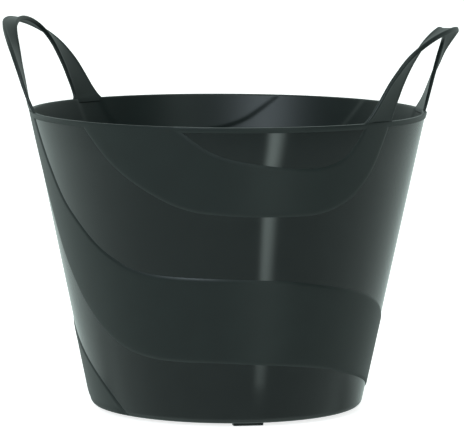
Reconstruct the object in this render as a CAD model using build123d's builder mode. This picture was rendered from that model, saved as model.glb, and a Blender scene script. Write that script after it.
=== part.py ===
from build123d import *
import math
import os

# Round flexible bucket with two strap handles, millimetres, +Z up.
# The origin is on the floor under the axis, and the handles stand at +X and -X.

# Tub
rim_radius = 164.1          # outside of the wall at the top
base_radius = 112.5         # outside of the wall at its foot, before the corner is rounded
bucket_height = 248.2       # floor to the top of the rim
wall_thickness = 2.4
floor_thickness = 3.0
base_corner = 6.5           # outside rounding between wall and floor

# Rim lip
lip_height = 4.5

# Raised bands: the wall steps outward by this much, inside and outside alike
band_relief = 0.9

# Feet
foot_height = 2.7
foot_width = 25.0
foot_depth = 9.0
foot_inset = 3.0            # from the rounded corner in to the foot
foot_corner = 2.0
foot_count = 3
first_foot_angle = 57.0

# Handles
leg_inner_angle = 19.85     # edges of a handle's leg at the rim, either side of the handle
leg_outer_angle = 30.35
handle_rise = 74.2          # rim to the middle of the strap
handle_outreach = 31.3      # strap's outer edge beyond the rim at the top
grip_width = 15.0           # strap's width at its middle
strap_thickness = 3.4
strap_edge_radius = 1.1

# Fineness of the swept shapes
steps_between_stations = 4
strap_steps = 24

# Each handle bends where its two legs leave the rim
stub_height = 1.8           # shortest stretch of leg that stays with the rim
hinge_gap = 0.45            # between the fixed stretch and the moving strap
barrel_margin = 0.8         # rounded end of the strap beyond the strap's own edges

# Worked out from the sizes above
base_height = foot_height
wall_rise = bucket_height - base_height
wall_lean = math.atan2(rim_radius - base_radius, wall_rise)
wall_span = wall_thickness / math.cos(wall_lean)
corner_reach = base_corner / math.tan(math.radians(45) + wall_lean / 2)
floor_radius = base_radius - corner_reach
corner_top = base_height + corner_reach * math.cos(wall_lean)
lip_bottom = bucket_height - lip_height
leg_angle = (leg_inner_angle + leg_outer_angle) / 2


def wall_radius(height):
    """Outside radius of the plain wall at a height above the floor."""
    return rim_radius - (bucket_height - height) * math.tan(wall_lean)


# Stations along each band, from the handle's leg onward, as (lower angle, lower height,
# upper angle, upper height): angles in degrees from the handle, heights as shares of the wall's.
# Heights past 0 and 1 run off the wall, which trims them.
falling_stations = [
    (18, 1.07, 28.5, 1.11), (21, 0.96, 31.2, 1), (24, 0.856, 34.8, 0.9), (27, 0.751, 39.3, 0.811),
    (30.3, 0.646, 44.6, 0.726), (34.5, 0.537, 51, 0.661), (40, 0.449, 57, 0.607), (47, 0.367, 62.5, 0.568),
    (55.5, 0.296, 68, 0.54), (66, 0.241, 73, 0.519), (77, 0.216, 79, 0.507), (89, 0.209, 87.5, 0.5),
    (104, 0.208, 101, 0.497), (120, 0.201, 115.5, 0.493), (135, 0.189, 129, 0.484),
    (149, 0.171, 141, 0.466), (161, 0.145, 152.5, 0.445), (173, 0.119, 165, 0.416),
    (187, 0.084, 179, 0.366), (201, 0.043, 195, 0.295), (216.5, -0.004, 212, 0.208),
    (232, -0.054, 229, 0.104), (248, -0.105, 246, -0.021), (264, -0.165, 263, -0.145),
]
returning_stations = [
    (16, 1.169, 26, 1.199), (18, 1.09, 28, 1.12), (20, 1.005, 30, 1.035), (21.8, 0.93, 31.9, 0.972),
    (24, 0.861, 34.1, 0.928), (27, 0.806, 36.4, 0.9), (31.5, 0.757, 38.8, 0.882), (37.5, 0.723, 41.6, 0.871),
    (44.5, 0.704, 45.5, 0.863), (52, 0.701, 50.8, 0.862), (60, 0.701, 57, 0.868), (68, 0.703, 63, 0.877),
    (76, 0.708, 69.3, 0.888), (83, 0.716, 74.6, 0.903), (90, 0.737, 79, 0.925), (96, 0.767, 82.6, 0.953),
    (101, 0.797, 86.2, 0.984), (106, 0.833, 90.1, 1.02), (111, 0.88, 94.3, 1.064),
    (116, 0.945, 99, 1.122), (121, 1.02, 104.2, 1.189), (126, 1.1, 109.5, 1.259),
]


def wall_point(angle, share):
    """Point on the plain wall's outside face."""
    height = base_height + share * wall_rise
    turn = math.radians(angle)
    return Vector(math.cos(turn), math.sin(turn), 0) * wall_radius(height) + Vector(0, 0, height)


def smooth_stations(stations):
    """The chosen stations and the ones between them, on a smooth curve through them all."""
    smooth = []
    for before, start, end, after in zip(stations, stations[1:], stations[2:], stations[3:]):
        for step in range(steps_between_stations):
            t = step / steps_between_stations
            smooth.append([
                b + t * (c - a + t * (2 * a - 5 * b + 4 * c - d + t * (3 * b - a - 3 * c + d))) / 2
                for a, b, c, d in zip(before, start, end, after)
            ])
    return smooth


def band_cutter(stations, direction):
    """Solid that stands through the wall along one band, wider than the wall is thick."""
    with BuildPart() as cutter:
        for lower_angle, lower_share, upper_angle, upper_share in smooth_stations(stations):
            lower = wall_point(direction * lower_angle, lower_share)
            upper = wall_point(direction * upper_angle, upper_share)
            middle = (lower + upper) / 2
            across = upper - lower
            outward = Vector(middle.X, middle.Y, 0)
            station = Plane(origin=middle, x_dir=across, z_dir=across.cross(outward))
            with BuildSketch(station):
                Rectangle(across.length, cutter_reach)
        loft(ruled=True)
    return cutter.part


def wall_skin(inner_shift, outer_shift):
    """Thin cone that follows the wall from the rounded corner up to the lip."""
    with BuildPart() as skin:
        with BuildSketch(Plane.XZ):
            with BuildLine():
                Polyline(
                    (wall_radius(corner_top) + inner_shift, corner_top),
                    (wall_radius(corner_top) + outer_shift, corner_top),
                    (wall_radius(lip_bottom) + outer_shift, lip_bottom),
                    (wall_radius(lip_bottom) + inner_shift, lip_bottom),
                    close=True,
                )
            make_face()
        revolve(axis=Axis.Z)
    return skin.part


cutter_reach = 6 * wall_thickness + 4 * band_relief
falling_cutter = band_cutter(falling_stations, 1)
returning_cutter = band_cutter(returning_stations, -1)
outer_skin = wall_skin(0, band_relief)
groove_skin = wall_skin(-wall_span, -wall_span + band_relief)
falling_groove = falling_cutter & groove_skin
returning_groove = returning_cutter & groove_skin

# Floor: the flat disc inside the rounded corner
with BuildPart() as floor:
    with BuildSketch(Plane.XY.offset(base_height)):
        Circle(floor_radius)
    extrude(amount=floor_thickness)

# Wall: the leaning cone with its rounded foot, grooved inside behind every band
with BuildPart() as wall:
    with BuildSketch(Plane.XZ):
        with BuildLine():
            Polyline(
                (0, base_height),
                (base_radius, base_height),
                (rim_radius, bucket_height),
                (rim_radius - wall_span, bucket_height),
                (wall_radius(base_height + floor_thickness) - wall_span, base_height + floor_thickness),
                (0, base_height + floor_thickness),
                close=True,
            )
        section = make_face()
        low_corners = section.vertices().filter_by(lambda corner: corner.X > floor_radius)
        outside_corner = low_corners.sort_by(Axis.Z)[0]
        inside_corner = low_corners.sort_by(Axis.Z)[1]
        fillet(outside_corner, radius=base_corner)
        fillet(inside_corner, radius=base_corner - wall_thickness)
        with Locations((floor_radius / 2, base_height)):
            Rectangle(floor_radius, 4 * floor_thickness, mode=Mode.SUBTRACT)
    revolve(axis=Axis.Z)
    for side_angle in (0, 180):
        add(falling_groove, rotation=(0, 0, side_angle), mode=Mode.SUBTRACT)
        add(returning_groove, rotation=(0, 0, side_angle), mode=Mode.SUBTRACT)

# Lip: the low ring around the outside of the rim, level with the bands
with BuildPart() as lip:
    with BuildSketch(Plane.XZ):
        with BuildLine():
            Polyline(
                (wall_radius(lip_bottom), lip_bottom),
                (wall_radius(lip_bottom) + band_relief, lip_bottom),
                (rim_radius + band_relief, bucket_height),
                (rim_radius, bucket_height),
                close=True,
            )
        make_face()
    revolve(axis=Axis.Z)

# Bands: the raised skins that run out of the handles' legs and around the wall
with BuildPart() as falling_band:
    add(falling_cutter)
    add(outer_skin, mode=Mode.INTERSECT)

with BuildPart() as returning_band:
    add(returning_cutter)
    add(outer_skin, mode=Mode.INTERSECT)

# Foot: a low pad under the floor's edge
with BuildPart() as foot:
    with BuildSketch():
        with PolarLocations(floor_radius - foot_inset - foot_depth / 2, 1):
            pad = Rectangle(foot_depth, foot_width)
        fillet(pad.vertices(), radius=foot_corner)
    extrude(amount=foot_height)

# Strap: a flat arch that stands up from the wall and folds outward until its grip lies level.
# Its outer and inner edges are smooth curves through the legs, the shoulders and the grip.
strap_middle = rim_radius + band_relief - strap_thickness / 2


def strap_edge(rim_angle, reach, rise, shoulders):
    """One edge of the strap: rim, lower shoulder, upper shoulder, grip, and the same again."""
    turn = math.radians(rim_angle)
    foot_x = strap_middle * math.cos(turn)
    foot_y = strap_middle * math.sin(turn)
    points = [(foot_x, foot_y, bucket_height)]
    for out_share, side_share, up_share in shoulders:
        x = foot_x + out_share * (reach - foot_x)
        points.append((x, side_share * foot_y, bucket_height + up_share * rise))
    grip = (reach, 0, bucket_height + rise)
    other_side = [(x, -y, z) for x, y, z in points]
    with BuildLine() as edge:
        Spline(*other_side, grip, *reversed(points))
    return edge.line


outer_reach = rim_radius + handle_outreach
inner_reach = outer_reach - grip_width
outer_shoulders = [(0.23, 0.9, 0.36), (0.63, 0.62, 0.78)]
inner_shoulders = [(0.15, 0.97, 0.25), (0.72, 0.64, 0.79)]
outer_edge = strap_edge(leg_outer_angle, outer_reach, handle_rise, outer_shoulders)
inner_edge = strap_edge(leg_inner_angle, inner_reach, handle_rise, inner_shoulders)

# The two legs bend on one axis, a chord of the rim that runs along Y
leg_half_width = strap_middle * math.radians(leg_outer_angle - leg_inner_angle) / 2
leg_half_depth = leg_half_width * math.sin(math.radians(leg_angle)) + strap_thickness / 2
barrel_radius = leg_half_depth + barrel_margin
hinge_height = bucket_height + stub_height + hinge_gap + barrel_radius
hinge_lean = (hinge_height - bucket_height) * math.tan(wall_lean)
hinge_x = strap_middle * math.cos(math.radians(leg_angle)) + hinge_lean


def strap_section(share, set_back=0.0):
    """Cross-section of the strap a share of the way along, as a plane and a width."""
    inner = inner_edge @ share
    outer = outer_edge @ share
    across = outer - inner
    forward = (inner_edge % share) + (outer_edge % share)
    along = (forward - across * (forward.dot(across) / across.dot(across))).normalized()
    middle = (inner + outer) / 2 - along * set_back
    return Plane(origin=middle, x_dir=across, z_dir=along), across.length


# The blank runs on into the wall at both ends and is cut off level with the rim
with BuildPart() as strap_blank:
    cuts = [(0.0, barrel_radius)]
    cuts += [(step / strap_steps, 0.0) for step in range(strap_steps + 1)]
    cuts += [(1.0, -barrel_radius)]
    for share, set_back in cuts:
        section_plane, section_width = strap_section(share, set_back)
        with BuildSketch(section_plane):
            RectangleRounded(section_width, strap_thickness, strap_edge_radius)
    loft()
    split(bisect_by=Plane.XY.offset(bucket_height), keep=Keep.TOP)

# Everything below the bending axis, except the round barrel that turns with the strap
with BuildPart() as below_hinge:
    with BuildSketch(Plane.XZ):
        with Locations((hinge_x, hinge_height)):
            Rectangle(6 * barrel_radius, 6 * barrel_radius, align=(Align.CENTER, Align.MAX))
            Circle(barrel_radius, mode=Mode.SUBTRACT)
    extrude(amount=rim_radius, both=True)

with BuildPart() as strap:
    add(strap_blank)
    add(below_hinge, mode=Mode.SUBTRACT)

# Roots: the short lengths of leg that stay with the rim and cup the barrel
with BuildPart() as roots:
    add(strap_blank)
    split(bisect_by=Plane.XY.offset(hinge_height), keep=Keep.BOTTOM)
    with Locations((hinge_x, 0, hinge_height)):
        Cylinder(barrel_radius + hinge_gap, 2 * rim_radius, rotation=(90, 0, 0), mode=Mode.SUBTRACT)

root_solids = roots.solids().sort_by(Axis.Y)


def finish(shape, label, turn=0.0):
    """Turn a finished piece about the bucket's axis, name it and write its file."""
    with BuildPart() as piece:
        add(shape, rotation=(0, 0, turn))
    piece.part.label = label
    export_step(piece.part, f"parts/{label}.step")


os.makedirs("parts", exist_ok=True)

floor.part.label = "floor"
export_step(floor.part, "parts/floor.step")
wall.part.label = "wall"
export_step(wall.part, "parts/wall.step")
lip.part.label = "rim_lip"
export_step(lip.part, "parts/rim_lip.step")

for number in range(foot_count):
    finish(foot.part, f"foot_{number + 1}", first_foot_angle + number * 360 / foot_count)

for side, turn in (("right", 0), ("left", 180)):
    near, far = ("front", "back") if side == "right" else ("back", "front")
    finish(falling_band.part, f"{side}_falling_band", turn)
    finish(returning_band.part, f"{side}_returning_band", turn)
    finish(root_solids[0], f"{side}_{near}_root", turn)
    finish(root_solids[-1], f"{side}_{far}_root", turn)
    finish(strap.part, f"{side}_handle", turn)
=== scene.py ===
import math
import bmesh
import bpy
import numpy as np
from mathutils import Matrix, Vector


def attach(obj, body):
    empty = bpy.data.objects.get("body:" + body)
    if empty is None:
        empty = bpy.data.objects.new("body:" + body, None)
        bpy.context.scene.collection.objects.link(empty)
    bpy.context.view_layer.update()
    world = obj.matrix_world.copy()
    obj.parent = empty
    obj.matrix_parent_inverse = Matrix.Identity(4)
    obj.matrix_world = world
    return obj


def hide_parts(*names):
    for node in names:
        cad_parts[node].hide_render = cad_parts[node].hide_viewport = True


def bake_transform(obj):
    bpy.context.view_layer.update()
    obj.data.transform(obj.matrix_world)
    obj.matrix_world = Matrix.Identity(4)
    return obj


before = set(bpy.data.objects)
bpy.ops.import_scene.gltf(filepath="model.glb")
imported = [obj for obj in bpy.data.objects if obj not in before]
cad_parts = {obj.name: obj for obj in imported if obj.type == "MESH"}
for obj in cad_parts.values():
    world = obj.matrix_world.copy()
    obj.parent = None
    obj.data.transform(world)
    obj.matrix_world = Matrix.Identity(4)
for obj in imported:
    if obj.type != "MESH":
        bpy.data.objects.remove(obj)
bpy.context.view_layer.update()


# Side wall: the leaning wall of the tub, moulded in one shot of dark green-black polypropylene.
# The mould is polished outside between the raised bands and lightly textured inside. Behind every
# raised band the inner face is hollowed by the same amount, so the wall stays equally thick.
mm = 0.001
base_height = 2.7 * mm
rim_height = 248.2 * mm
base_radius = 112.5 * mm
rim_radius = 164.1 * mm
wall_span = 2.453 * mm
floor_thickness = 3.0 * mm
corner_radius = 6.5 * mm
rim_rounding = 0.5 * mm
wall_rise = rim_height - base_height
wall_slope = (rim_radius - base_radius) / wall_rise
wall_lean = math.atan(wall_slope)
floor_radius = base_radius - corner_radius / math.tan(math.radians(45) + wall_lean / 2)

# Where the two kinds of raised band run, as (lower angle, lower height, upper angle, upper height):
# degrees from the handle, and heights as shares of the wall's.
falling_path = [
    (18, 1.07, 28.5, 1.11), (21, 0.96, 31.2, 1), (24, 0.856, 34.8, 0.9), (27, 0.751, 39.3, 0.811),
    (30.3, 0.646, 44.6, 0.726), (34.5, 0.537, 51, 0.661), (40, 0.449, 57, 0.607), (47, 0.367, 62.5, 0.568),
    (55.5, 0.296, 68, 0.54), (66, 0.241, 73, 0.519), (77, 0.216, 79, 0.507), (89, 0.209, 87.5, 0.5),
    (104, 0.208, 101, 0.497), (120, 0.201, 115.5, 0.493), (135, 0.189, 129, 0.484),
    (149, 0.171, 141, 0.466), (161, 0.145, 152.5, 0.445), (173, 0.119, 165, 0.416),
    (187, 0.084, 179, 0.366), (201, 0.043, 195, 0.295), (216.5, -0.004, 212, 0.208),
    (232, -0.054, 229, 0.104), (248, -0.105, 246, -0.021), (264, -0.165, 263, -0.145),
]
returning_path = [
    (16, 1.169, 26, 1.199), (18, 1.09, 28, 1.12), (20, 1.005, 30, 1.035), (21.8, 0.93, 31.9, 0.972),
    (24, 0.861, 34.1, 0.928), (27, 0.806, 36.4, 0.9), (31.5, 0.757, 38.8, 0.882), (37.5, 0.723, 41.6, 0.871),
    (44.5, 0.704, 45.5, 0.863), (52, 0.701, 50.8, 0.862), (60, 0.701, 57, 0.868), (68, 0.703, 63, 0.877),
    (76, 0.708, 69.3, 0.888), (83, 0.716, 74.6, 0.903), (90, 0.737, 79, 0.925), (96, 0.767, 82.6, 0.953),
    (101, 0.797, 86.2, 0.984), (106, 0.833, 90.1, 1.02), (111, 0.88, 94.3, 1.064),
    (116, 0.945, 99, 1.122), (121, 1.02, 104.2, 1.189), (126, 1.1, 109.5, 1.259),
]


def smooth_rows(rows, steps):
    """The rows given and the ones between them, on a smooth curve through them all."""
    rows = np.array(rows, float)
    rows = np.vstack([2 * rows[0] - rows[1], rows, 2 * rows[-1] - rows[-2]])
    smooth = []
    for a, b, c, d in zip(rows, rows[1:], rows[2:], rows[3:]):
        for t in np.arange(steps) / steps:
            curve = t * (2 * a - 5 * b + 4 * c - d + t * (3 * b - a - 3 * c + d))
            smooth.append(b + t * (c - a + curve) / 2)
    smooth.append(rows[-2])
    return np.array(smooth)


def ease(share):
    """0 to 1 with a soft start and end."""
    share = np.clip(share, 0.0, 1.0)
    return share * share * (3 - 2 * share)


def inside_band(path, direction, turn, angles, shares):
    """How far points of the wall lie inside a band's two edges, in metres, as two arrays."""
    rows = smooth_rows(path, groove_steps)
    local = (direction * (angles - turn)) % 360.0
    radius = base_radius + shares * wall_rise * wall_slope
    distances = []
    for column, sign in ((0, 1), (2, -1)):
        edge_angles = rows[:, column]
        edge_shares = rows[:, column + 1]
        slopes = np.gradient(edge_shares, edge_angles)
        edge = np.interp(local, edge_angles, edge_shares)
        slope = np.interp(local, edge_angles, slopes) * wall_rise / (radius * math.radians(1.0))
        distances.append(sign * (shares - edge) * wall_rise / np.sqrt(1 + slope ** 2))
    return distances


def new_piece(name, mesh_builder, smooth=True):
    """Turn a finished bmesh into an object at the origin."""
    mesh = bpy.data.meshes.new(name)
    mesh_builder.to_mesh(mesh)
    mesh_builder.free()
    mesh.polygons.foreach_set("use_smooth", [smooth] * len(mesh.polygons))
    piece = bpy.data.objects.new(name, mesh)
    bpy.context.scene.collection.objects.link(piece)
    return piece


def wall_radius(height):
    """Outside radius of the plain wall at a height above the ground."""
    return rim_radius - (rim_height - height) * wall_slope


def arc(centre, radius, start, end, steps):
    """Points on part of a circle, angles in degrees."""
    turns = [math.radians(start + (end - start) * step / steps) for step in range(steps + 1)]
    return [(centre[0] + radius * math.cos(turn), centre[1] + radius * math.sin(turn)) for turn in turns]


def spun(profile, steps, closed=True):
    """A bmesh of a profile, given as (radius, height), turned once round the bucket's axis.

    A profile that isn't closed starts and ends on the axis."""
    builder = bmesh.new()
    corners = [builder.verts.new((radius, 0, height)) for radius, height in profile]
    following = corners[1:] + corners[:1] if closed else corners[1:]
    edges = [builder.edges.new(pair) for pair in zip(corners, following)]
    bmesh.ops.spin(builder, geom=corners + edges, cent=(0, 0, 0), axis=(0, 0, 1), angle=math.tau,
                   steps=steps, use_merge=True)
    bmesh.ops.remove_doubles(builder, verts=builder.verts, dist=weld)
    bmesh.ops.recalc_face_normals(builder, faces=builder.faces)
    return builder


# The wall's section, from the foot up the outside, over the rim and down the inside
weld = 0.001 * mm
wall_steps = 400
outer_rows = 8
inner_rows = 190
outer_corner_steps = 10
inner_corner_steps = 8
outer_rim_edge = [(0.35, 0.2), (1.0, 0.0)]
inner_rim_edge = [(1.0, 0.0), (0.2, 0.25)]
lean_degrees = math.degrees(wall_lean)
outer_corner = (floor_radius, base_height + corner_radius)
outer_start = outer_corner[1] - corner_radius * math.sin(wall_lean)
inner_corner_radius = corner_radius - wall_span * math.cos(wall_lean)
inner_corner = (floor_radius, base_height + floor_thickness + inner_corner_radius)
inner_start = inner_corner[1] - inner_corner_radius * math.sin(wall_lean)
wall_profile = arc(outer_corner, corner_radius, -90, -lean_degrees, outer_corner_steps)
for step in range(1, outer_rows + 1):
    height = outer_start + (rim_height - rim_rounding - outer_start) * step / outer_rows
    wall_profile.append((wall_radius(height), height))
for inward, down in outer_rim_edge:
    wall_profile.append((rim_radius - inward * rim_rounding, rim_height - down * rim_rounding))
for outward, down in inner_rim_edge:
    wall_profile.append((rim_radius - wall_span + outward * rim_rounding, rim_height - down * rim_rounding))
for step in range(1, inner_rows):
    height = rim_height + (inner_start - rim_height) * step / inner_rows
    wall_profile.append((wall_radius(height) - wall_span, height))
wall_profile += arc(inner_corner, inner_corner_radius, -lean_degrees, -90, inner_corner_steps)
wall_mesh = spun(wall_profile, wall_steps)

# The grooves behind the bands push the inner face outward
band_relief = 0.9 * mm
groove_ramp = 4.0 * mm
groove_fade = 15.0 * mm
groove_steps = 4
places = np.array([vert.co for vert in wall_mesh.verts])
angles = np.degrees(np.arctan2(places[:, 1], places[:, 0]))
radii = np.hypot(places[:, 0], places[:, 1])
shares = (places[:, 2] - base_height) / wall_rise
depth = np.zeros(len(places))
for turn in (0.0, 180.0):
    for path, direction in ((falling_path, 1), (returning_path, -1)):
        above, below = inside_band(path, direction, turn, angles, shares)
        hollow = ease(above / groove_ramp) * ease(below / groove_ramp)
        depth = np.maximum(depth, hollow * band_relief)
inner_radii = base_radius + (places[:, 2] - base_height) * wall_slope - wall_span
on_inner_face = radii < inner_radii + 1.2 * rim_rounding
fade = ease((places[:, 2] - inner_start) / groove_fade) * on_inner_face
grown = 1 + depth * fade / radii
for vert, factor in zip(wall_mesh.verts, grown):
    vert.co.x *= factor
    vert.co.y *= factor

# Polished outside and underneath, satin inside
for face in wall_mesh.faces:
    middle = face.calc_center_median()
    outer = math.hypot(middle.x, middle.y) > wall_radius(middle.z) - 0.3 * wall_span
    underneath = middle.z < base_height + 0.5 * floor_thickness
    face.material_index = 0 if outer or underneath else 1
tub_wall = new_piece("tub_wall", wall_mesh)


def plastic(name, colour, roughness, grain_depth, grain_size, mottle):
    """Moulded plastic: one colour with faint mottling, and a fine grain pressed in by the mould."""
    material = bpy.data.materials.new(name)
    material.use_nodes = True
    nodes = material.node_tree.nodes
    links = material.node_tree.links
    shader = nodes["Principled BSDF"]
    shader.inputs["Roughness"].default_value = roughness
    shader.inputs["IOR"].default_value = 1.49
    place = nodes.new("ShaderNodeTexCoord")
    cloud = nodes.new("ShaderNodeTexNoise")
    cloud.inputs["Scale"].default_value = 60.0
    cloud.inputs["Detail"].default_value = 3.0
    shade = nodes.new("ShaderNodeValToRGB")
    for stop, position, change in zip(shade.color_ramp.elements, (0.3, 0.7), (-mottle, mottle)):
        stop.position = position
        stop.color = [part * (1 + change) for part in colour] + [1]
    links.new(place.outputs["Object"], cloud.inputs["Vector"])
    links.new(cloud.outputs["Fac"], shade.inputs["Fac"])
    links.new(shade.outputs["Color"], shader.inputs["Base Color"])
    grain = nodes.new("ShaderNodeTexNoise")
    grain.inputs["Scale"].default_value = 1.0 / grain_size
    grain.inputs["Detail"].default_value = 2.0
    press = nodes.new("ShaderNodeBump")
    press.inputs["Strength"].default_value = 1.0
    press.inputs["Distance"].default_value = grain_depth
    links.new(place.outputs["Object"], grain.inputs["Vector"])
    links.new(grain.outputs["Fac"], press.inputs["Height"])
    links.new(press.outputs["Normal"], shader.inputs["Normal"])
    return material


polished = plastic("polished polypropylene", (0.0090, 0.0118, 0.0114), 0.11, 0.004 * mm, 2.5 * mm, 0.06)
satin = plastic("satin polypropylene", (0.0055, 0.0110, 0.0100), 0.44, 0.02 * mm, 0.9 * mm, 0.08)
tub_wall.data.materials.append(polished)
tub_wall.data.materials.append(satin)
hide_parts("wall")
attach(tub_wall, "tub")


# Raised bands: ribbons of the same moulding that stand proud of the wall, textured satin by the
# mould. From each handle one band falls round the wall to the foot and one swings back up to the rim.
ribbon_steps = 6
ribbon_columns = 22
ribbon_lift = 0.87 * mm
toe_depth = 0.15 * mm
lower_bevel = 3.0 * mm
upper_bevel = 2.6 * mm
narrowest_ribbon = 12.0 * mm
lowest_toe = base_height + 0.1 * mm
highest_toe = rim_height - 0.02 * mm
# A ribbon sinks into the wall over this much of the rounding at the foot
foot_fade = math.radians(60)
# A ribbon's rounded edge, as (share of the bevel's width, height above the wall)
bevel_rows = [
    (0.0, -toe_depth), (0.15, 0.1 * ribbon_lift), (0.45, 0.5 * ribbon_lift), (0.8, 0.9 * ribbon_lift),
    (1.15, ribbon_lift),
]


def wall_point(angle, share, lift):
    """A point standing off the outside of the wall, following its rounded foot."""
    height = base_height + share * wall_rise
    radius = wall_radius(height)
    normal = -wall_lean
    if height < outer_start:
        down = min((outer_start - height) / corner_radius, math.radians(90) - wall_lean)
        normal -= down
        radius = outer_corner[0] + corner_radius * math.cos(normal)
        height = outer_corner[1] + corner_radius * math.sin(normal)
        lift *= float(ease(1 - down / foot_fade))
    spot = math.radians(angle)
    reach = radius + lift * math.cos(normal)
    return Vector((reach * math.cos(spot), reach * math.sin(spot), height + lift * math.sin(normal)))


def ribbon_column(column, width):
    """Where a column of the grid lies across the ribbon, as a share, and its height above the wall."""
    from_top = ribbon_columns - column
    if column < len(bevel_rows):
        inset, lift = bevel_rows[column]
        return inset * lower_bevel / width, lift
    if from_top < len(bevel_rows):
        inset, lift = bevel_rows[from_top]
        return 1 - inset * upper_bevel / width, lift
    inset, lift = bevel_rows[-1]
    start = inset * lower_bevel / width
    end = 1 - inset * upper_bevel / width
    step = (column - len(bevel_rows) + 1) / (ribbon_columns - 2 * len(bevel_rows) + 2)
    return start + (end - start) * step, lift


def band(name, path, direction, turn):
    """One ribbon: a flat grid laid along the band's path, trimmed at the rim and at the foot."""
    rows = smooth_rows(path, ribbon_steps)
    builder = bmesh.new()
    bmesh.ops.create_grid(builder, x_segments=len(rows) - 1, y_segments=ribbon_columns, size=0.5)
    for vert in builder.verts:
        row = rows[round((vert.co.x + 0.5) * (len(rows) - 1))]
        lower = wall_point(turn + direction * row[0], row[1], 0)
        upper = wall_point(turn + direction * row[2], row[3], 0)
        width = max((upper - lower).length, narrowest_ribbon)
        across, lift = ribbon_column(round((vert.co.y + 0.5) * ribbon_columns), width)
        angle = row[0] + across * (row[2] - row[0])
        share = row[1] + across * (row[3] - row[1])
        vert.co = wall_point(turn + direction * angle, share, lift)
    whole = builder.verts[:] + builder.edges[:] + builder.faces[:]
    bmesh.ops.bisect_plane(builder, geom=whole, plane_co=(0, 0, highest_toe), plane_no=(0, 0, 1),
                           clear_outer=True)
    low = [vert for vert in builder.verts if vert.co.z < lowest_toe]
    bmesh.ops.delete(builder, geom=low, context="VERTS")
    bmesh.ops.recalc_face_normals(builder, faces=builder.faces)
    builder.faces.ensure_lookup_table()
    sample = builder.faces[len(builder.faces) // 2]
    middle = sample.calc_center_median()
    if sample.normal.dot(Vector((middle.x, middle.y, 0))) < 0:
        bmesh.ops.reverse_faces(builder, faces=builder.faces)
    piece = new_piece(name, builder)
    piece.data.materials.append(satin)
    return piece


for side, turn in (("right", 0.0), ("left", 180.0)):
    for kind, path, direction in (("falling", falling_path, 1), ("returning", returning_path, -1)):
        ribbon = band(f"{side}_{kind}_ribbon", path, direction, turn)
        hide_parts(f"{side}_{kind}_band")
        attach(ribbon, "tub")


# Rim lip: the low satin ring of the same moulding round the outside of the rim, level with the
# raised bands, with a softly rounded top edge.
lip_steps = 288
lip_height = 4.5 * mm
lip_face = 0.85 * mm
lip_bottom = rim_height - lip_height
lip_foot_radius = wall_radius(lip_bottom)
lip_profile = [
    (lip_foot_radius - 0.2 * mm, lip_bottom - 0.1 * mm),
    (lip_foot_radius + lip_face - 0.25 * mm, lip_bottom),
    (lip_foot_radius + lip_face, lip_bottom + 0.25 * mm),
    (rim_radius + lip_face - 0.03 * mm, rim_height - 0.65 * mm),
    (rim_radius + lip_face - 0.12 * mm, rim_height - 0.3 * mm),
    (rim_radius + lip_face - 0.35 * mm, rim_height - 0.08 * mm),
    (rim_radius + lip_face - 0.65 * mm, rim_height),
    (rim_radius - 0.6 * mm, rim_height),
]
rim_ring = new_piece("rim_ring", spun(lip_profile, lip_steps))
rim_ring.data.materials.append(satin)
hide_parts("rim_lip")
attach(rim_ring, "tub")


# Base: the flat disc that closes the tub, part of the same moulding, with the small round mark
# left in the middle underneath where the plastic entered the mould.
base_steps = 128
gate_radius = 4.0 * mm
gate_slope = 0.6 * mm
gate_depth = 0.35 * mm
middle_ring = 60.0 * mm
base_top = base_height + floor_thickness
base_profile = [
    (0.0, base_height + gate_depth),
    (gate_radius, base_height + gate_depth),
    (gate_radius + gate_slope, base_height),
    (middle_ring, base_height),
    (floor_radius, base_height),
    (floor_radius, base_top),
    (middle_ring, base_top),
    (0.0, base_top),
]
base_disc = new_piece("base_disc", spun(base_profile, base_steps, closed=False), smooth=False)
base_disc.data.materials.append(satin)
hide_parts("floor")
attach(base_disc, "tub")


# Feet: three low pads of the same plastic, moulded under the edge of the base, which keep it off
# the ground. Their corners and lower edges are rounded, so that they leave the mould.
foot_count = 3
first_foot_angle = 57
foot_width = 25.0 * mm
foot_depth = 9.0 * mm
foot_inset = 3.0 * mm
foot_corner = 2.0 * mm
foot_edge = 0.5 * mm
foot_height = base_height + 0.2 * mm
foot_distance = floor_radius - foot_inset - foot_depth / 2
for number in range(foot_count):
    pad = bmesh.new()
    bmesh.ops.create_cube(pad, size=1.0)
    bmesh.ops.scale(pad, vec=(foot_depth, foot_width, foot_height), verts=pad.verts)
    bmesh.ops.translate(pad, vec=(foot_distance, 0, foot_height / 2), verts=pad.verts)
    uprights = [edge for edge in pad.edges if abs(edge.verts[0].co.z - edge.verts[1].co.z) > mm]
    bmesh.ops.bevel(pad, geom=uprights, offset=foot_corner, affect="EDGES", segments=5, profile=0.5,
                    material=-1)
    rounded = [edge for edge in pad.edges if max(vert.co.z for vert in edge.verts) < 0.1 * mm]
    bmesh.ops.bevel(pad, geom=rounded, offset=foot_edge, affect="EDGES", segments=3, profile=0.5,
                    material=-1)
    spot = math.radians(first_foot_angle + number * 360 / foot_count)
    bmesh.ops.rotate(pad, verts=pad.verts, cent=(0, 0, 0), matrix=Matrix.Rotation(spot, 3, "Z"))
    foot_pad = new_piece(f"foot_pad_{number + 1}", pad)
    foot_pad.data.materials.append(satin)
    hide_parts(f"foot_{number + 1}")
    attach(foot_pad, "tub")


# Handles: two flat straps of the same moulding that grow out of the raised bands at the rim, rise
# in an arch and fold outward, so that the grip lies nearly level. They have a thin web between two
# thicker edges, and each is set with a slight fixed lean from just above the rim.
strap_steps = 6
strap_edge = 1.1 * mm
strap_web = 2.4 * mm
edge_points = 4
edge_swing = 90 / (edge_points - 1)
hinge_height = 259.3 * mm
hinge_reach = 150.2 * mm
lean_start = 25.0 * mm
twist_height = 286.7 * mm
twist_rise = 17.0 * mm
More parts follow.
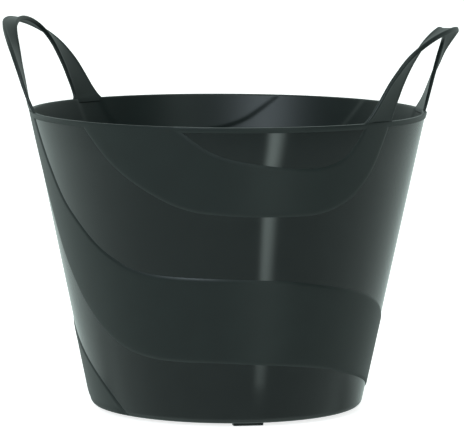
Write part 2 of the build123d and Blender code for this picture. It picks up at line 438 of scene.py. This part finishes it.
# Along the strap, counted from 1 at one foot over 0 in the middle to -1 at the other
twist_middle = 0.1
twist_spread = 0.6
sag_start = -0.12
sag_rise = 0.3
sag_end = 0.75
sag_fall = 0.4
# Half of the web's section, as (distance in from the edge in millimetres, share of the web's depth)
web_slope = [(2.0, 0.15), (3.0, 0.8), (4.0, 1)]
# One leg from the rim to the middle of the grip, in millimetres, heights above the ground:
# outer edge x, y, z, inner edge x, y, z, and the thickness of both edges.
strap_leg = [
    (138.9, 85.4, 244.7, 154.2, 53.1, 244.7, 2.5),
    (140.1, 84.8, 248.1, 154.5, 54.1, 248.1, 2.5),
    (141.4, 83.4, 249.9, 154.6, 55.6, 249.9, 2.6),
    (143.3, 82.4, 252.5, 155.1, 56.2, 252.3, 2.7),
    (146.7, 80.8, 257.9, 156.4, 55.7, 257.3, 2.8),
    (149.9, 79.0, 264.1, 158.1, 54.4, 263.1, 2.9),
    (153.4, 76.6, 271.0, 159.8, 53.0, 268.9, 3.1),
    (157.6, 73.2, 279.3, 161.7, 51.4, 275.3, 3.3),
    (162.6, 68.3, 287.7, 164.8, 48.2, 284.7, 3.5),
    (168.3, 61.7, 295.9, 168.5, 43.0, 295.7, 3.7),
    (174.8, 53.0, 303.3, 172.3, 36.5, 305.1, 3.9),
    (181.8, 41.9, 309.9, 175.5, 28.6, 312.1, 4.0),
    (188.2, 29.0, 315.1, 178.0, 19.6, 316.8, 4.0),
    (192.9, 14.8, 318.3, 179.6, 10.0, 319.4, 4.0),
    (194.4, 0.0, 319.5, 180.0, 0.0, 320.3, 4.0),
]


def strap_section():
    """Points round the strap's section, as (edge, inset, face, rise, dish).

    edge is 1 at the outer edge, -1 at the inner one and 0 in the middle, inset is counted from there,
    face is 1 above and -1 below, rise follows the rounded edge and dish goes down into the web."""
    section = []
    for start, side, face in ((0, 1, 1), (90, -1, 1), (180, -1, -1), (270, 1, -1)):
        for step in range(edge_points):
            swing = math.radians(start + edge_swing * step)
            section.append((side, strap_edge * (math.cos(swing) - side), face, math.sin(swing), 0))
        if start in (0, 180):
            for inset, dish in web_slope:
                section.append((side, -side * inset * mm, face, face, dish))
            section.append((0, 0, face, face, 1))
            for inset, dish in reversed(web_slope):
                section.append((-side, side * inset * mm, face, face, dish))
    return section


def strap(name, turn, lean, twist, sag):
    """One strap, its section carried from the rim over the grip and back down.

    Each strap has set a little differently: by a lean of the whole, a twist of both legs and
    a sag of the grip's inner edge towards the back."""
    half = np.array(strap_leg)
    mirrored = half[::-1] * np.array([1, -1, 1, 1, -1, 1, 1])
    rows = smooth_rows(np.vstack([half, mirrored[1:]]), strap_steps)
    outer = rows[:, :3] * mm
    inner = rows[:, 3:6] * mm
    half_thick = rows[:, 6] * mm / 2
    sideways = outer[:, 1] / outer[0, 1]
    inner[:, 2] -= sag * ease((sideways - sag_start) / sag_rise) * ease((sag_end - sideways) / sag_fall)
    legs = ease((np.abs(sideways) + twist_middle) / twist_spread)
    leg_twist = twist * ease((outer[:, 2] - twist_height) / twist_rise) * legs
    middle = (outer + inner) / 2
    along = np.gradient(middle, axis=0)
    section = strap_section()
    builder = bmesh.new()
    bmesh.ops.create_grid(builder, x_segments=len(rows) - 1, y_segments=len(section), size=0.5)
    for vert in builder.verts:
        row = round((vert.co.x + 0.5) * (len(rows) - 1))
        column = round((vert.co.y + 0.5) * len(section)) % len(section)
        edge, inset, face, rise, dish = section[column]
        across = Vector(outer[row] - inner[row])
        half_width = across.length / 2
        across = Matrix.Rotation(leg_twist[row], 3, Vector(along[row])) @ across.normalized()
        thick = across.cross(Vector(along[row])).normalized()
        rounding = strap_edge - dish * (half_thick[row] - strap_web / 2)
        lift = face * (half_thick[row] - strap_edge) + rise * rounding
        vert.co = Vector(middle[row]) + across * (edge * half_width + inset) + thick * lift
    bmesh.ops.remove_doubles(builder, verts=builder.verts, dist=weld)
    open_edges = [edge for edge in builder.edges if edge.is_boundary]
    bmesh.ops.holes_fill(builder, edges=open_edges)
    hinge = Vector((hinge_reach, 0, hinge_height))
    tilt = Matrix.Rotation(lean, 3, "Y")
    for vert in builder.verts:
        share = float(ease((vert.co.z - rim_height) / lean_start))
        if share > 0:
            vert.co = vert.co.lerp(tilt @ (vert.co - hinge) + hinge, share)
    bmesh.ops.rotate(builder, verts=builder.verts, cent=(0, 0, 0), matrix=Matrix.Rotation(turn, 3, "Z"))
    bmesh.ops.recalc_face_normals(builder, faces=builder.faces)
    piece = new_piece(name, builder)
    piece.data.materials.append(satin)
    return piece


# How each strap has set, as (side, turn about the bucket's axis, lean, twist, sag)
strap_sets = [("right", 0.0, -0.011, 0.12, 3.0 * mm), ("left", math.pi, 0.0, 0.0, 0.0)]
for side, turn, lean, twist, sag in strap_sets:
    arch = strap(f"{side}_strap", turn, lean, twist, sag)
    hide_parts(f"{side}_handle", f"{side}_front_root", f"{side}_back_root")
    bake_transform(arch)


# Ground: a plain sweep of white paper under the bucket, lit so brightly that only the faintest
# shadow is left on it. It is left out of reflections, which show the studio round it instead.
ground_mesh = bmesh.new()
bmesh.ops.create_circle(ground_mesh, cap_ends=True, segments=96, radius=6.0)
ground = new_piece("ground", ground_mesh, smooth=False)
paper = bpy.data.materials.new("white paper")
paper.use_nodes = True
paper_shader = paper.node_tree.nodes["Principled BSDF"]
paper_shader.inputs["Base Color"].default_value = (0.9, 0.9, 0.9, 1)
paper_shader.inputs["Roughness"].default_value = 0.9
paper_shader.inputs["Emission Color"].default_value = (1, 1, 1, 1)
paper_shader.inputs["Emission Strength"].default_value = 0.8
ground.data.materials.append(paper)
ground.visible_glossy = False


# Light: a white studio that is brightest behind the bucket, with one tall strip light in front on
# the right and two soft boxes, of which one shines into the tub and one hangs overhead.
world = bpy.data.worlds.new("studio")
bpy.context.scene.world = world
world.use_nodes = True
sky = world.node_tree
sky.nodes.clear()
camera_azimuth = 16.85
front_level = 0.34
back_level = 0.85
right_dimming = -0.2
strip_level = 2.9
studio_tint = (0.84, 1.0, 0.96, 1)


def sky_math(operation, first, second=0.5, third=0.5):
    """One sum in the sky, on sockets or plain numbers."""
    node = sky.nodes.new("ShaderNodeMath")
    node.operation = operation
    for socket, value in zip(node.inputs, (first, second, third)):
        if isinstance(value, (int, float)):
            socket.default_value = value
        else:
            sky.links.new(value, socket)
    return node.outputs["Value"]


def sky_range(value, low, high, to_low, to_high):
    """A soft step in the sky from one level to another."""
    node = sky.nodes.new("ShaderNodeMapRange")
    node.interpolation_type = "SMOOTHSTEP"
    sky.links.new(value, node.inputs["Value"])
    for socket, number in zip(("From Min", "From Max", "To Min", "To Max"), (low, high, to_low, to_high)):
        node.inputs[socket].default_value = number
    return node.outputs["Result"]


# Each direction in the studio, as parts to the right of the camera, away from it and up
direction = sky.nodes.new("ShaderNodeTexCoord").outputs["Generated"]
turned = sky.nodes.new("ShaderNodeVectorRotate")
turned.rotation_type = "Z_AXIS"
turned.inputs["Angle"].default_value = -math.radians(camera_azimuth)
sky.links.new(direction, turned.inputs["Vector"])
parts = sky.nodes.new("ShaderNodeSeparateXYZ")
sky.links.new(turned.outputs["Vector"], parts.inputs["Vector"])
side_part, away_part, up_part = parts.outputs
towards_part = sky_math("MULTIPLY", away_part, -1.0)
bearing = sky_math("MULTIPLY", sky_math("ARCTAN2", side_part, towards_part), math.degrees(1))

# The even glow: from front to back, dimmer to the right and above, brighter low in front
glow = sky_range(away_part, -0.8, 0.9, front_level, back_level)
glow = sky_math("MULTIPLY", glow, sky_math("MULTIPLY_ADD", side_part, right_dimming, 1.0))
in_front = sky_range(away_part, -0.3, 0.3, 1.0, 0.0)
above_ground = sky_range(up_part, -0.45, 0.15, 0.0, -0.6)
below_ground = sky_range(up_part, -0.95, -0.5, 0.6, 0.0)
front_change = sky_math("MULTIPLY_ADD", in_front, sky_math("ADD", above_ground, below_ground), 1.0)
glow = sky_math("MULTIPLY", glow, front_change)

# The darker floor behind, which shades the undersides
under_edge = sky_math("MULTIPLY_ADD", sky_math("ABSOLUTE", side_part), 0.25, up_part)
behind = sky_range(away_part, 0.2, 0.5, 0.0, 1.0)
shade = sky_math("MULTIPLY", sky_range(under_edge, -0.17, -0.13, -0.45, 0.0), behind)
glow = sky_math("MULTIPLY", glow, sky_math("ADD", shade, 1.0))

# The strip light, between two bearings, fading out at its lower end
strip_left = sky_range(bearing, 22.0, 26.6, 0.0, strip_level)
strip_right = sky_range(bearing, 27.5, 36.0, 1.0, 0.0)
strip = sky_math("MULTIPLY", strip_left, strip_right)
strip = sky_math("MULTIPLY", strip, sky_range(up_part, -0.545, -0.49, 0.0, 1.0))

# Reflections see the studio, and the backdrop itself is plain white
around = sky.nodes.new("ShaderNodeBackground")
around.inputs["Color"].default_value = studio_tint
sky.links.new(sky_math("ADD", glow, strip), around.inputs["Strength"])
plain = sky.nodes.new("ShaderNodeBackground")
plain.inputs["Color"].default_value = (1, 1, 1, 1)
plain.inputs["Strength"].default_value = 1.0
rays = sky.nodes.new("ShaderNodeLightPath")
mixed = sky.nodes.new("ShaderNodeMixShader")
sky.links.new(rays.outputs["Is Camera Ray"], mixed.inputs["Fac"])
sky.links.new(around.outputs["Background"], mixed.inputs[1])
sky.links.new(plain.outputs["Background"], mixed.inputs[2])
output = sky.nodes.new("ShaderNodeOutputWorld")
sky.links.new(mixed.outputs["Shader"], output.inputs["Surface"])

softbox_distance = 2.2
softbox_aim = 0.16


def soft_light(name, bearing_degrees, elevation, size, power, colour):
    """A soft box aimed at the bucket, its bearing counted to the right from the camera."""
    lamp = bpy.data.lights.new(name, "AREA")
    lamp.shape = "RECTANGLE"
    lamp.size, lamp.size_y = size
    lamp.energy = power
    lamp.color = colour
    box = bpy.data.objects.new(name, lamp)
    bpy.context.scene.collection.objects.link(box)
    turn = math.radians(camera_azimuth + bearing_degrees)
    rise = math.radians(elevation)
    offset = Vector((math.sin(turn) * math.cos(rise), -math.cos(turn) * math.cos(rise), math.sin(rise)))
    offset *= softbox_distance
    box.rotation_euler = offset.to_track_quat("Z", "Y").to_euler()
    box.location = Vector((0, 0, softbox_aim)) + offset


soft_light("inner softbox", bearing_degrees=-24, elevation=24, size=(0.7, 0.9), power=19.0,
           colour=(0.80, 0.92, 1.0))
soft_light("top softbox", bearing_degrees=10, elevation=75, size=(1.4, 1.4), power=7.0,
           colour=(0.9, 1.0, 0.98))


# Camera: a long lens in front of the bucket, a little to the right of it and above its rim,
# looking slightly down and turned a third of a degree.
camera_distance = 3.300
camera_height = 0.5344
camera_pitch = 6.487
camera_roll = 0.006
camera_data = bpy.data.cameras.new("camera")
camera_data.sensor_width = 36.0
camera_data.lens = 309.65
camera_data.shift_x = 0.0101
camera_data.clip_end = 50.0
camera = bpy.data.objects.new("camera", camera_data)
bpy.context.scene.collection.objects.link(camera)
turn = math.radians(camera_azimuth)
camera.location = (camera_distance * math.sin(turn), -camera_distance * math.cos(turn), camera_height)
camera_turn = Matrix.Rotation(turn, 3, "Z") @ Matrix.Rotation(math.radians(90 - camera_pitch), 3, "X")
camera.rotation_euler = (camera_turn @ Matrix.Rotation(camera_roll, 3, "Z")).to_euler()
bpy.context.scene.camera = camera
bpy.context.scene.view_settings.view_transform = "Standard"
